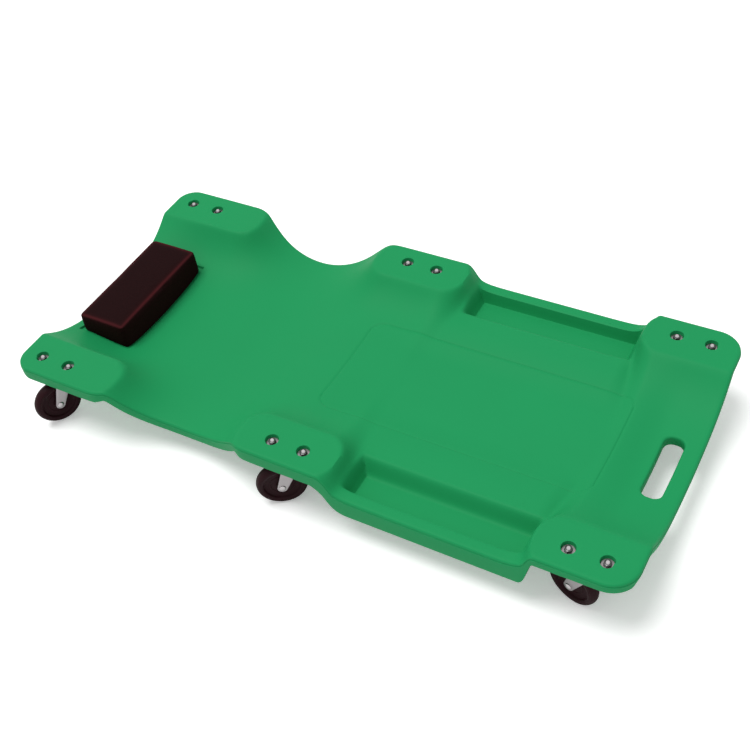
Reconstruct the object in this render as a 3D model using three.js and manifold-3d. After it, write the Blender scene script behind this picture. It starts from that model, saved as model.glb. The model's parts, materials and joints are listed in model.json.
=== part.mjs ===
// Low-profile mechanics creeper: a blow-moulded deck on six swivel casters, with a padded headrest.
// Millimetres, +Z up. +X runs from the head end to the foot end. -Y is the lying person's right-hand side.
// The origin is on the floor, under the middle of the deck.
import * as THREE from 'three';
import { mergeVertices } from 'three/addons/utils/BufferGeometryUtils.js';
import Module from 'manifold-3d';

const wasm = await Module();
wasm.setup();

// ---- driving dimensions ----------------------------------------------------------------------

const GAP = 0.3; // between pieces that touch
const SLEEVE = GAP; // radial clearance of a pin in its hole
const RUN = 0.5; // beside a turning wheel

// deck outline
const LENGTH = 1008;
const WIDTH = 482;
const HEAD_CORNER = 32;
const FOOT_CORNER = 40;
const WALL = 18; // moulding thickness, top skin to bottom skin
const HALF_L = LENGTH / 2;
const HALF_W = WIDTH / 2;

// caster, stacked from the floor up: wheel, clearance, crown, balls, race cup, plate, deck
const WHEEL_D = 76.2;
const WHEEL_CLEAR = 10;
const STEEL = 2.5; // race cup, crown and fork arms
const BALL_ROOM = 3;
const PLATE_T = 2.5;
const PAD_UNDER = WHEEL_D + WHEEL_CLEAR + STEEL + BALL_ROOM + STEEL + PLATE_T + GAP;
const HEIGHT = PAD_UNDER + WALL; // floor to the top of the caster pads

// caster pads: flat plateaus at full height, in three rows of two
const HEAD_ROW = -HALF_L + 62.6;
const MID_ROW = -11.1;
const FOOT_ROW = HALF_L - 68.6;
const CASTER_Y = HALF_W - 34;
const PAD_INNER_Y = HALF_W - 73;
const HEAD_PAD_END = -HALF_L + 181;
const MID_PAD_REACH = 78; // from the row to either end of the plateau
const MID_PAD_START = MID_ROW - MID_PAD_REACH;
const MID_PAD_END = MID_ROW + MID_PAD_REACH;
const FOOT_PAD_START = HALF_L - 141;
const PAD_CORNER = 30;
const PAD_FADE = 35; // distance in which the ground round a pad falls by 63%
const HEAD_EDGE_FADE = 60; // the same, at the very end of the head
const FOOT_PAD_FADE = 48;
const TRAY_SIDE_FADE = 9; // the same, towards a tray
const PAD_ROUND = 3; // softness of the plateau's edge
const PAD_SHOULDER = 8; // how much smaller the plateau is on the underside
const RIM_RUN = 10; // from the deck's outer edge to where its lower skin starts to bend
const RIM_FULL = 5; // and to where it is fully bent: down at the pads' sides, up at the foot end
const HEAD_RIM_DROP = 5;
const MID_RIM_DROP = 8;
const FOOT_END_RISE = 8;

// lying surface between the pads
const HEAD_FLOOR = HEIGHT - 55.5;
const WAIST_FLOOR = HEIGHT - 59;
const BACK_FLOOR = HEIGHT - 40;
const FOOT_FLOOR = HEIGHT - 51;
const BACK_START = MID_ROW - 19;
const BACK_END = HALF_L - 114;
const FOOT_FLOOR_START = HALF_L - 59;

// arm cut-in on each side, between the head and mid pads
const WAIST_X = (HEAD_PAD_END + MID_PAD_START) / 2 - 3;
const WAIST_HALF = (MID_PAD_START - HEAD_PAD_END) / 2 + 15;
const WAIST_DEPTH = 33;

// tool tray on each side, between the mid and foot pads
const TRAY_START = MID_PAD_END + 13.1;
const TRAY_END = FOOT_PAD_START - 5;
const TRAY_INNER_Y = HALF_W - 84;
const TRAY_LIP = 18; // width of the outer wall
const TRAY_RIM = HEIGHT - 29; // height of the ridge beside the lying surface
const TRAY_LIP_TOP = HEIGHT - 33;
const TRAY_FLOOR = HEIGHT - 53;
const TRAY_SKIN = 16; // floor thickness
const TRAY_LEAD = 80; // length over which the ridge rises beside the mid pad
const RIDGE_Y = TRAY_INNER_Y - 20; // where the ridge reaches its height
const RIDGE_RISE = 81; // plan width of the slope up to it
const FLAT_HALF = RIDGE_Y - RIDGE_RISE; // half width of the level middle
const TRAY_INNER_RUN = 20; // plan width of each sloping wall
const TRAY_OUTER_RUN = 7;
const TRAY_END_RUN = 14;
const TRAY_UNDER_RUN = 56; // the underside falls to the tray over this length beside the mid pad
const TRAY_UNDER_END = 23; // and over this length beside the foot pad

// carrying handle
const SLOT_X = HALF_L - 40.5;
const SLOT_WIDTH = 29;
const SLOT_LENGTH = 113;
const SLOT_CORNER = 12;

// fasteners through each pad
const BOLT_SPACING = 52;
const BOLT_D = 6;
const BOLT_HOLE_D = BOLT_D + 2 * SLEEVE;
const BOLT_HEAD_H = 4;
const HEX_AF = 10; // across the flats of the heads and nuts
const NUT_H = 5;
const WASHER_D = 17;
const WASHER_H = 1.4;
const RECESS_D = WASHER_D + 3;
const RECESS_DEPTH = 7.5;

// wheel, plate and fork
const WHEEL_W = 19;
const TREAD_FLAT = 6;
const TREAD_DROP = 4; // crown, from the flat to the tread's shoulder
const WHEEL_DISH_R = 27;
const WHEEL_DISH_DEPTH = 5;
const HUB_R = 9;
const HUB_DRAFT = 1; // slope of the hub's side
const TREAD_EDGE = 1; // how far the tread's shoulder stands inside the hub's face
const TRAIL = 20.3;
const PLATE_L = 74;
const PLATE_W = 44;
const PLATE_CORNER = 8;
const CUP_R = 17;
const CROWN_R = 18;
const KINGPIN_D = 8;
const KINGPIN_HEAD_D = 14;
const KINGPIN_HEAD_H = 1.9;
const KINGPIN_TAIL_D = 14;
const KINGPIN_TAIL_H = 2.6;
const AXLE_D = 8;
const AXLE_HEAD_D = 13;
const AXLE_HEAD_H = 2.4;
const FORK_EYE_R = 9.5;
const FORK_BACK = 13;
const FORK_FRONT = 14;
const FORK_CORNER = 2;

// headrest
const CUSHION_X = -HALF_L + 21.4; // head-side face
const CUSHION_L = 91;
const CUSHION_W = 208;
const CUSHION_TOP = HEIGHT - 4.5;
const CUSHION_CORNER = 7;
const SEAT_DEPTH = 3.5; // the shallow seat that the cushion stands in
const SEAT_MARGIN = 3; // room between the cushion and the seat's edge
const SEAT_RUN = 1.5; // width of the seat's sloping edge
const BOARD_L = 64;
const BOARD_W = 116;
const BOARD_T = 7;
const SCREW_D = 5;
const SCREW_HEAD_D = 10;
const SCREW_HEAD_H = 2.5;
const SCREW_SPACING = 70;
const SCREW_GRIP = 5; // how far the screw goes into the board

// fineness of round shapes
const ROUND = 20;
const SMALL_ROUND = 12;
const BOLT_ROUND = 8;

// ---- worked out from them --------------------------------------------------------------------

const PLATE_TOP = PAD_UNDER - GAP;
const TRAY_OUTER_Y = HALF_W - TRAY_LIP;
const TRAY_UNDER = TRAY_FLOOR - TRAY_SKIN;
const WHEEL_R = WHEEL_D / 2;
const CUSHION_MID_X = CUSHION_X + CUSHION_L / 2;
const BEYOND = 20; // how far cutters and blanks stand past what they cut

const ROWS = { head: HEAD_ROW, mid: MID_ROW, foot: FOOT_ROW };
const SIDES = { right: -1, left: 1 };

// Way that each right-hand caster trails at rest, in degrees from +X towards +Y.
// The left-hand ones are out of sight and are set as mirror images.
const REST_SWIVEL = { head: 242, mid: 216, foot: 163 };

// ---- materials -------------------------------------------------------------------------------

const finish = (color, roughness, metalness) =>
  new THREE.MeshStandardMaterial({ color, roughness, metalness });
const GREEN_PLASTIC = finish(0x2d9e62, 0.5, 0);
const VINYL = finish(0x241516, 0.45, 0);
const HARDBOARD = finish(0x6b5139, 0.8, 0);
const ZINC = finish(0xc4c6c8, 0.3, 1);
const WHEEL_PLASTIC = finish(0x1f1415, 0.4, 0);

// ---- solids ----------------------------------------------------------------------------------

// A closed three.js geometry as a manifold solid.
function solid(geometry) {
  const bare = geometry.clone();
  bare.deleteAttribute('normal');
  bare.deleteAttribute('uv');
  const merged = mergeVertices(bare, 1e-4);
  return new wasm.Manifold(new wasm.Mesh({
    numProp: 3,
    vertProperties: new Float32Array(merged.attributes.position.array),
    triVerts: new Uint32Array(merged.index.array),
  }));
}

function geometryOf(body) {
  const { vertProperties, triVerts, numProp } = body.getMesh();
  const geometry = new THREE.BufferGeometry();
  geometry.setAttribute('position', new THREE.BufferAttribute(vertProperties, numProp));
  geometry.setIndex(new THREE.BufferAttribute(triVerts, 1));
  geometry.computeVertexNormals();
  return geometry;
}

function piece(name, body, material) {
  const mesh = new THREE.Mesh(geometryOf(body), material);
  mesh.name = name;
  return mesh;
}

// Upright round solid from a profile of [radius, height] points, given from the bottom up.
function turned(profile, segments = SMALL_ROUND) {
  const points = profile.map(([r, z]) => new THREE.Vector2(r, z));
  points.push(points[0].clone());
  return solid(new THREE.LatheGeometry(points, segments).rotateX(Math.PI / 2));
}

// Upright cylinder between two heights, on the axis or moved to x, y.
function post(diameter, low, high, x = 0, y = 0, segments = SMALL_ROUND) {
  const cylinder = new THREE.CylinderGeometry(diameter / 2, diameter / 2, high - low, segments);
  return solid(cylinder.rotateX(Math.PI / 2).translate(x, y, (low + high) / 2));
}

// Upright hexagonal prism.
function hex(acrossFlats, low, high) {
  return post(acrossFlats / Math.cos(Math.PI / 6), low, high, 0, 0, 6);
}

// Outline in X and Y, raised between two heights.
function raised(shape, low, high, curveSegments = 6) {
  const options = { depth: high - low, bevelEnabled: false, curveSegments };
  const geometry = new THREE.ExtrudeGeometry(shape, options);
  return solid(geometry.translate(0, 0, low));
}

// Rectangle with round corners, centred on x, y.
function roundedRect(length, width, corner, x = 0, y = 0) {
  const [a, b] = [length / 2, width / 2];
  const shape = new THREE.Shape();
  shape.absarc(x + a - corner, y - b + corner, corner, -Math.PI / 2, 0);
  shape.absarc(x + a - corner, y + b - corner, corner, 0, Math.PI / 2);
  shape.absarc(x - a + corner, y + b - corner, corner, Math.PI / 2, Math.PI);
  shape.absarc(x - a + corner, y - b + corner, corner, Math.PI, Math.PI * 1.5);
  return shape;
}

// ---- deck surface ----------------------------------------------------------------------------

const clamp = (t) => Math.min(1, Math.max(0, t));
const mix = (a, b, t) => a + (b - a) * t;

// 0 at one place, 1 at the other, level at both.
function ease(from, to, at) {
  const t = clamp((at - from) / (to - from));
  return t * t * (3 - 2 * t);
}

const headFade = (x) => mix(HEAD_EDGE_FADE, PAD_FADE, ease(-HALF_L, CUSHION_X + CUSHION_L, x));
const PADS = [
  { from: -HALF_L - 2 * PAD_CORNER, to: HEAD_PAD_END, fadeAt: headFade },
  { from: MID_PAD_START, to: MID_PAD_END, fadeAt: () => PAD_FADE },
  { from: FOOT_PAD_START, to: HALF_L + 2 * PAD_CORNER, fadeAt: () => FOOT_PAD_FADE },
];

// Distance in plan from a pad's plateau, 0 on it. a is the distance from the middle line.
function awayFrom(pad, x, a, inset, outer) {
  const cx = (pad.from + pad.to) / 2;
  const cy = (PAD_INNER_Y + inset + outer) / 2;
  const dx = Math.abs(x - cx) - (pad.to - pad.from) / 2 + inset + PAD_CORNER;
  const dy = Math.abs(a - cy) - (outer - PAD_INNER_Y - inset) / 2 + PAD_CORNER;
  const out = Math.hypot(Math.max(dx, 0), Math.max(dy, 0)) + Math.min(Math.max(dx, dy), 0);
  return Math.max(0, out - PAD_CORNER);
}

// 1 between the pads that have a tray between them, 0 elsewhere.
const betweenPads = (x) =>
  ease(PADS[1].to - PAD_CORNER, TRAY_START, x) * (1 - ease(TRAY_END, PADS[2].from + PAD_CORNER, x));

// How much of a pad's height is left at a place: 1 on the plateau, fading with distance.
function lift(x, a, inset, outer) {
  const rest = PADS.map((pad) => {
    const d = awayFrom(pad, x, a, inset, outer);
    const fade = mix(pad.fadeAt(x), TRAY_SIDE_FADE, betweenPads(x));
    return 1 - Math.exp(-(Math.hypot(d, PAD_ROUND) - PAD_ROUND) / fade);
  });
  return 1 - rest.reduce((all, one) => all * one, 1);
}

// Height of the lying surface along the middle.
function floorAt(x) {
  const toWaist = mix(HEAD_FLOOR, WAIST_FLOOR, ease(HEAD_PAD_END, WAIST_X, x));
  const toBack = mix(toWaist, BACK_FLOOR, ease(WAIST_X, BACK_START, x));
  return mix(toBack, FOOT_FLOOR, ease(BACK_END, FOOT_FLOOR_START, x));
}

// 1 beside the trays, 0 past their ends.
const besideTray = (x) =>
  ease(TRAY_START - TRAY_LEAD, TRAY_START, x) * (1 - ease(TRAY_END - TRAY_END_RUN, BACK_END, x));

// The surface without pads: a shallow dish that turns up to a ridge beside each tray.
function dish(x, a) {
  const ridge = mix(TRAY_RIM, TRAY_LIP_TOP, ease(TRAY_INNER_Y, TRAY_OUTER_Y, a));
  const side = mix(floorAt(x), ridge, besideTray(x));
  return mix(floorAt(x), side, ease(FLAT_HALF, RIDGE_Y, a));
}

// 1 on the floor of the cushion's seat, 0 beyond its edge.
function seatShare(x, a) {
  const past = Math.max(Math.abs(x - CUSHION_MID_X) - CUSHION_L / 2, a - CUSHION_W / 2);
  return 1 - ease(SEAT_MARGIN, SEAT_MARGIN + SEAT_RUN, past);
}

function topAt(x, y) {
  const a = Math.abs(y);
  const ground = dish(x, a);
  const open = mix(ground, HEIGHT, lift(x, a, 0, HALF_W));
  const wall = Math.max(
    1 - ease(TRAY_INNER_Y, TRAY_INNER_Y + TRAY_INNER_RUN, a),
    ease(TRAY_OUTER_Y - TRAY_OUTER_RUN, TRAY_OUTER_Y, a),
    1 - ease(TRAY_START, TRAY_START + TRAY_END_RUN, x),
    ease(TRAY_END - TRAY_END_RUN, TRAY_END, x),
  );
  return mix(TRAY_FLOOR, open, wall) - SEAT_DEPTH * seatShare(x, a);
}

// How far the lower skin of a pad hangs down at a place, near the deck's long side.
function rimDrop(x, a) {
  const side = ease(HALF_W - RIM_RUN, HALF_W - RIM_FULL, a);
  const head = HEAD_RIM_DROP * (1 - ease(HEAD_PAD_END, WAIST_X, x));
  const mid = MID_RIM_DROP * ease(WAIST_X, MID_PAD_START, x) * (1 - ease(MID_PAD_END, TRAY_START, x));
  return side * (head + mid);
}

function underAt(x, y) {
  const a = Math.abs(y);
  const pad = lift(x, a, PAD_SHOULDER, HALF_W + BEYOND);
  const rise = FOOT_END_RISE * ease(HALF_L - RIM_RUN, HALF_L - RIM_FULL, x);
  const plain = mix(dish(x, a) - WALL, PAD_UNDER - rimDrop(x, a), pad) + rise;
  const start = TRAY_START + TRAY_END_RUN;
  const end = TRAY_END - TRAY_END_RUN + TRAY_SKIN / 2;
  const along = ease(start - TRAY_UNDER_RUN, start, x) * (1 - ease(end, end + TRAY_UNDER_END, x));
  const across = ease(TRAY_INNER_Y - TRAY_INNER_RUN, TRAY_INNER_Y, a);
  return Math.min(plain, mix(plain, TRAY_UNDER, along * across));
}

// count + 1 places, evenly from one to the other.
const steps = (from, to, count) => Array.from({ length: count + 1 }, (_, i) => mix(from, to, i / count));
const inOrder = (list) => [...new Set(list.map((v) => Math.round(v * 100) / 100))].sort((a, b) => a - b);

// Lines of the deck's grid, as distances from the middle line and then as places across the deck.
const ACROSS = [
  ...steps(0, FLAT_HALF, 1),
  ...steps(FLAT_HALF, RIDGE_Y, 3),
  ...steps(TRAY_INNER_Y, TRAY_INNER_Y + TRAY_INNER_RUN, 2),
  ...steps(TRAY_OUTER_Y - TRAY_OUTER_RUN, TRAY_OUTER_Y, 1),
  (TRAY_INNER_Y + TRAY_OUTER_Y + TRAY_INNER_RUN) / 2,
  CUSHION_W / 2 + SEAT_MARGIN,
  CUSHION_W / 2 + SEAT_MARGIN + SEAT_RUN,
  HALF_W - RIM_RUN,
  HALF_W - RIM_FULL,
  HALF_W,
  HALF_W + BEYOND,
];
const GRID_YS = inOrder([...ACROSS, ...ACROSS.map((v) => -v)]);

// Height of the deck's top between two lines of its grid, where it runs straight.
function skinAt(x, y) {
  const next = GRID_YS.findIndex((line) => line >= y);
  const [a, b] = [GRID_YS[next - 1], GRID_YS[next]];
  return mix(topAt(x, a), topAt(x, b), (y - a) / (b - a));
}

// A slab on a grid whose lines follow the deck's features, with its faces at the heights given.
function slabOnGrid(upper, lower) {
  const xs = inOrder([
    -HALF_L - BEYOND,
    -HALF_L,
    CUSHION_X - SEAT_MARGIN - SEAT_RUN,
    ...steps(CUSHION_X - SEAT_MARGIN, CUSHION_X + CUSHION_L + SEAT_MARGIN, 2),
    CUSHION_X + CUSHION_L + SEAT_MARGIN + SEAT_RUN,
    HEAD_PAD_END,
    ...steps(HEAD_PAD_END, MID_PAD_START, 12),
    ...steps(MID_PAD_START, MID_PAD_END, 4),
    ...steps(TRAY_START, TRAY_START + TRAY_END_RUN, 2),
    ...steps(TRAY_START + TRAY_END_RUN, TRAY_END - TRAY_END_RUN, 4),
    ...steps(TRAY_END - TRAY_END_RUN, TRAY_END, 2),
    ...steps(FOOT_PAD_START, BACK_END, 2),
    ...steps(BACK_END, FOOT_FLOOR_START, 3),
    HALF_L - RIM_RUN,
    HALF_L - RIM_FULL,
    HALF_L,
    HALF_L + BEYOND,
  ]);
  const slab = new THREE.BoxGeometry(1, 1, 1, xs.length - 1, GRID_YS.length - 1, 1);
  const at = slab.attributes.position;
  for (let i = 0; i < at.count; i += 1) {
    const x = xs[Math.round((at.getX(i) + 0.5) * (xs.length - 1))];
    const y = GRID_YS[Math.round((at.getY(i) + 0.5) * (GRID_YS.length - 1))];
    at.setXYZ(i, x, y, at.getZ(i) > 0 ? upper(x, y) : lower(x, y));
  }
  return solid(slab);
}

// Plan of the deck: round corners, and an arc cut into each side at the waist.
function deckOutline() {
  const [a, b] = [HALF_L, HALF_W];
  const radius = (WAIST_HALF ** 2 + WAIST_DEPTH ** 2) / (2 * WAIST_DEPTH);
  const sweep = Math.asin(WAIST_HALF / radius);
  const centre = b - WAIST_DEPTH + radius;
  const up = Math.PI / 2;
  const shape = new THREE.Shape();
  shape.absarc(WAIST_X, -centre, radius, up + sweep, up - sweep, true);
  shape.absarc(a - FOOT_CORNER, -b + FOOT_CORNER, FOOT_CORNER, -up, 0);
  shape.absarc(a - FOOT_CORNER, b - FOOT_CORNER, FOOT_CORNER, 0, up);
  shape.absarc(WAIST_X, centre, radius, -up + sweep, -up - sweep, true);
  shape.absarc(-a + HEAD_CORNER, b - HEAD_CORNER, HEAD_CORNER, up, 2 * up);
  shape.absarc(-a + HEAD_CORNER, -b + HEAD_CORNER, HEAD_CORNER, 2 * up, 3 * up);
  return shape;
}

const casterPlaces = Object.entries(ROWS).flatMap(([row, x]) =>
  Object.entries(SIDES).map(([side, sign]) => ({
    place: `${row}_${side}`,
    x,
    y: sign * CASTER_Y,
    swivel: THREE.MathUtils.degToRad(-sign * REST_SWIVEL[row]),
  })));

const boltPlaces = casterPlaces.flatMap(({ place, x, y }) =>
  [-1, 1].map((end) => ({ place: `${place}_${end < 0 ? 'a' : 'b'}`, x: x + end * BOLT_SPACING / 2, y })));

const screwPlaces = Object.entries(SIDES).map(([place, sign]) => ({
  place,
  x: CUSHION_MID_X,
  y: sign * SCREW_SPACING / 2,
}));

function deck() {
  let body = slabOnGrid(topAt, underAt).intersect(raised(deckOutline(), 0, HEIGHT + BEYOND, 12));
  const slot = roundedRect(SLOT_WIDTH, SLOT_LENGTH, SLOT_CORNER, SLOT_X);
  body = body.subtract(raised(slot, 0, HEIGHT, 5));
  for (const { x, y } of boltPlaces) {
    body = body.subtract(post(BOLT_HOLE_D, 0, HEIGHT, x, y, BOLT_ROUND));
    body = body.subtract(post(RECESS_D, HEIGHT - RECESS_DEPTH, HEIGHT + BEYOND, x, y, SMALL_ROUND));
  }
  for (const { x, y } of screwPlaces) {
    body = body.subtract(post(SCREW_D + 2 * SLEEVE, 0, HEIGHT, x, y, BOLT_ROUND));
  }
  return piece('deck', body, GREEN_PLASTIC);
}

// ---- headrest --------------------------------------------------------------------------------

const boardBottom = skinAt(CUSHION_X, BOARD_W / 2) + GAP;

// Foam cushion in a sewn cover. Its underside is the deck's own skin and is hollowed for the board.
function cushion() {
  const side = CUSHION_W / 2;
  const shape = new THREE.Shape();
  shape.absarc(side - CUSHION_CORNER, CUSHION_TOP - CUSHION_CORNER, CUSHION_CORNER, 0, Math.PI / 2);
  shape.absarc(-side + CUSHION_CORNER, CUSHION_TOP - CUSHION_CORNER, CUSHION_CORNER, Math.PI / 2, Math.PI);
  shape.lineTo(-side, 0);
  shape.lineTo(side, 0);
  shape.closePath();
  const options = { depth: CUSHION_L, bevelEnabled: false, curveSegments: 4 };
  const across = new THREE.ExtrudeGeometry(shape, options);
  // the outline's x becomes Y, its y becomes Z, and its depth runs along X
  const turn = new THREE.Matrix4().makeBasis(
    new THREE.Vector3(0, 1, 0), new THREE.Vector3(0, 0, 1), new THREE.Vector3(1, 0, 0));
  const block = solid(across.applyMatrix4(turn).translate(CUSHION_X, 0, 0));
  const body = block.subtract(slabOnGrid((x, y) => topAt(x, y) + 2 * GAP, () => -BEYOND));
  const roomPlan = roundedRect(BOARD_L + 2 * GAP, BOARD_W + 2 * GAP, CUSHION_CORNER, CUSHION_MID_X);
  const room = raised(roomPlan, 0, boardBottom + BOARD_T + GAP, 3);
  return piece('headrest_cushion', body.subtract(room), VINYL);
}

function board() {
  const plan = roundedRect(BOARD_L, BOARD_W, CUSHION_CORNER, CUSHION_MID_X);
  let body = raised(plan, boardBottom, boardBottom + BOARD_T, 3);
  const holeTop = boardBottom + SCREW_GRIP + GAP;
  for (const { x, y } of screwPlaces) {
    body = body.subtract(post(SCREW_D + 2 * SLEEVE, 0, holeTop, x, y, BOLT_ROUND));
  }
  return piece('headrest_board', body, HARDBOARD);
}

function headrestScrew({ place, x, y }) {
  const head = underAt(x, y) - GAP;
  const shank = post(SCREW_D, head - SCREW_HEAD_H / 2, boardBottom + SCREW_GRIP, 0, 0, BOLT_ROUND);
  const face = head - SCREW_HEAD_H;
  const pan = turned([[0, face], [SCREW_HEAD_D / 3, face], [SCREW_HEAD_D / 2, head], [0, head]], BOLT_ROUND);
  const screw = piece(`headrest_screw_${place}`, shank.add(pan), ZINC);
  screw.position.set(x, y, 0);
  return screw;
}

// ---- fasteners of the casters ----------------------------------------------------------------

function bolt({ place, x, y }) {
  const headTop = PLATE_TOP - PLATE_T - GAP;
  const shank = post(BOLT_D, headTop - BOLT_HEAD_H / 2, HEIGHT - GAP, 0, 0, BOLT_ROUND);
  const body = shank.add(hex(HEX_AF, headTop - BOLT_HEAD_H, headTop));
  const mesh = piece(`bolt_${place}`, body, ZINC);
  mesh.position.set(x, y, 0);
  return mesh;
}

// Flange nut: hexagon and wide washer face in one.
function nut({ place, x, y }) {
  const seat = HEIGHT - RECESS_DEPTH + GAP;
  const flange = post(WASHER_D, seat, seat + WASHER_H);
  const bore = post(BOLT_D + 2 * SLEEVE, 0, HEIGHT + BEYOND, 0, 0, BOLT_ROUND);
  const body = flange.add(hex(HEX_AF, seat, seat + NUT_H)).subtract(bore);
  const mesh = piece(`flange_nut_${place}`, body, ZINC);
  mesh.position.set(x, y, 0);
  return mesh;
}

// ---- caster ----------------------------------------------------------------------------------
// Built round the kingpin's axis at its place on the floor. The fork trails along the caster's own +X.

const cupBottom = PLATE_TOP - PLATE_T - STEEL;
const crownTop = cupBottom - BALL_ROOM;
const crownBottom = crownTop - STEEL;
const armInside = WHEEL_W / 2 + RUN;
const armOutside = armInside + STEEL;

// Mounting plate with the upper ball race pressed in it.
function plate(place) {
  let body = raised(roundedRect(PLATE_L, PLATE_W, PLATE_CORNER), PLATE_TOP - PLATE_T, PLATE_TOP, 4);
  body = body.add(post(2 * CUP_R, cupBottom, PLATE_TOP - PLATE_T / 2, 0, 0, ROUND));
  body = body.subtract(post(KINGPIN_D + 2 * SLEEVE, 0, HEIGHT));
  body = body.subtract(post(KINGPIN_HEAD_D + 2 * SLEEVE, PLATE_TOP - PLATE_T, HEIGHT));
  for (const end of [-1, 1]) {
    body = body.subtract(post(BOLT_HOLE_D, 0, HEIGHT, end * BOLT_SPACING / 2, 0, BOLT_ROUND));
  }
  return piece(`caster_plate_${place}`, body, ZINC);
}

// Rivet that holds the fork up under the plate.
function kingpin(place) {
  const top = PLATE_TOP - GAP;
  const tail = crownBottom - GAP;
  const pin = KINGPIN_D / 2;
  const body = turned([
    [0, tail - KINGPIN_TAIL_H],
    [KINGPIN_TAIL_D / 3, tail - KINGPIN_TAIL_H],
    [KINGPIN_TAIL_D / 2, tail],
    [pin, tail],
    [pin, top - KINGPIN_HEAD_H],
    [KINGPIN_HEAD_D / 2, top - KINGPIN_HEAD_H],
    [KINGPIN_HEAD_D / 2, top],
    [0, top],
  ]);
  return piece(`kingpin_${place}`, body, ZINC);
}

// One arm, as an outline in X and Z: straight edges that run into the round eye at the axle.
function armOutline() {
  const reach = Math.hypot(TRAIL + FORK_BACK, crownBottom - WHEEL_R);
  const back = Math.atan2(crownBottom - WHEEL_R, -FORK_BACK - TRAIL) + Math.acos(FORK_EYE_R / reach);
  const nose = Math.hypot(TRAIL - FORK_FRONT, crownBottom - WHEEL_R);
  const front = Math.atan2(crownBottom - WHEEL_R, FORK_FRONT - TRAIL) - Math.acos(FORK_EYE_R / nose);
  const shape = new THREE.Shape();
  shape.moveTo(FORK_FRONT, crownTop - STEEL / 2);
  shape.lineTo(-FORK_BACK, crownTop - STEEL / 2);
  shape.lineTo(-FORK_BACK, crownBottom);
  shape.absarc(TRAIL, WHEEL_R, FORK_EYE_R, back, front + 2 * Math.PI);
  shape.lineTo(FORK_FRONT, crownBottom);
  return shape;
}

// Outline in X and Z, raised along Y from one side to the other.
function sideways(shape, low, high) {
  const options = { depth: high - low, bevelEnabled: false, curveSegments: 8 };
  const geometry = new THREE.ExtrudeGeometry(shape, options);
  return solid(geometry.rotateX(Math.PI / 2).translate(0, high, 0));
}

// Round rod along Y.
function rod(diameter, low, high, segments = SMALL_ROUND) {
  const cylinder = new THREE.CylinderGeometry(diameter / 2, diameter / 2, high - low, segments);
  return solid(cylinder.translate(TRAIL, (low + high) / 2, WHEEL_R));
}

function fork(place) {
  let body = post(2 * CROWN_R, crownBottom, crownTop, 0, 0, ROUND);
  const bridgeMid = (FORK_FRONT - FORK_BACK) / 2;
  const bridge = roundedRect(FORK_BACK + FORK_FRONT, 2 * armOutside, FORK_CORNER, bridgeMid);
  body = body.add(raised(bridge, crownBottom, crownTop, 2));
  for (const side of [-1, 1]) {
    const [low, high] = side < 0 ? [-armOutside, -armInside] : [armInside, armOutside];
    body = body.add(sideways(armOutline(), low, high));
  }
  body = body.subtract(post(KINGPIN_D + 2 * SLEEVE, 0, HEIGHT));
  body = body.subtract(rod(AXLE_D + 2 * SLEEVE, -CROWN_R, CROWN_R));
  return piece(`fork_${place}`, body, ZINC);
}

function wheel(place) {
  const half = WHEEL_W / 2;
  const bore = AXLE_D / 2 + SLEEVE;
  const web = half - WHEEL_DISH_DEPTH;
  const side = [
    [bore, half],
    [HUB_R, half],
    [HUB_R + HUB_DRAFT, web],
    [WHEEL_DISH_R, web],
    [WHEEL_R - TREAD_DROP, half - TREAD_EDGE],
    [WHEEL_R, TREAD_FLAT / 2],
  ];
  const other = side.map(([r, h]) => [r, -h]).reverse();
  const points = [...side, ...other].map(([r, h]) => new THREE.Vector2(r, h));
  points.push(points[0].clone());
  const body = solid(new THREE.LatheGeometry(points.reverse(), ROUND).translate(TRAIL, 0, WHEEL_R));
  return piece(`wheel_${place}`, body, WHEEL_PLASTIC);
}

function axle(place) {
  const under = armOutside + GAP;
  const body = [-1, 1].reduce((pin, side) => {
    const [low, high] = side < 0 ? [-under - AXLE_HEAD_H, -under] : [under, under + AXLE_HEAD_H];
    return pin.add(rod(AXLE_HEAD_D, low, high));
  }, rod(AXLE_D, -under - AXLE_HEAD_H / 2, under + AXLE_HEAD_H / 2));
  return piece(`axle_${place}`, body, ZINC);
}

function caster({ place, x, y, swivel: turn }) {
  const still = new THREE.Group();
  still.add(plate(place), kingpin(place));
  const swivel = new THREE.Group();
  swivel.add(fork(place), wheel(place), axle(place));
  swivel.rotation.z = turn;
  const group = new THREE.Group();
  group.add(still, swivel);
  group.position.set(x, y, 0);
  return group;
}

// ---- the creeper -----------------------------------------------------------------------------

const creeper = new THREE.Group();
creeper.add(deck(), cushion(), board(), ...screwPlaces.map(headrestScrew));
creeper.add(...casterPlaces.map(caster));
creeper.add(...boltPlaces.map(bolt), ...boltPlaces.map(nut));

export default creeper;
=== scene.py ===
"""A low mechanics creeper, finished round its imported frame: deck, headrest, casters and fasteners."""

import json
import math

import bmesh
import bpy
from bpy.props import FloatProperty, FloatVectorProperty, IntProperty, PointerProperty
from mathutils import Matrix, Vector


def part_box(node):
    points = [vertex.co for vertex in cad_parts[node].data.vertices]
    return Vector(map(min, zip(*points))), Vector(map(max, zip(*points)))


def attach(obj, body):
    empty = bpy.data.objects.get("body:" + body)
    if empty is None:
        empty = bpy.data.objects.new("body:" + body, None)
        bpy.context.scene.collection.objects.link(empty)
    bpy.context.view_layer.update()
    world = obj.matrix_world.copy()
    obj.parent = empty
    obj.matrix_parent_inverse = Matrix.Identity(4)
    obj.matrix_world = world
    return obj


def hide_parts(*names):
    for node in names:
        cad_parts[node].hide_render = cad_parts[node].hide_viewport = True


bl_info = {
    "name": "Mechanics creeper",
    "version": (1, 0, 0),
    "blender": (4, 5, 0),
    "location": "3D View > Sidebar > Creeper",
    "description": "Builds a six-caster mechanics creeper round its frame",
    "category": "Add Mesh",
}

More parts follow.
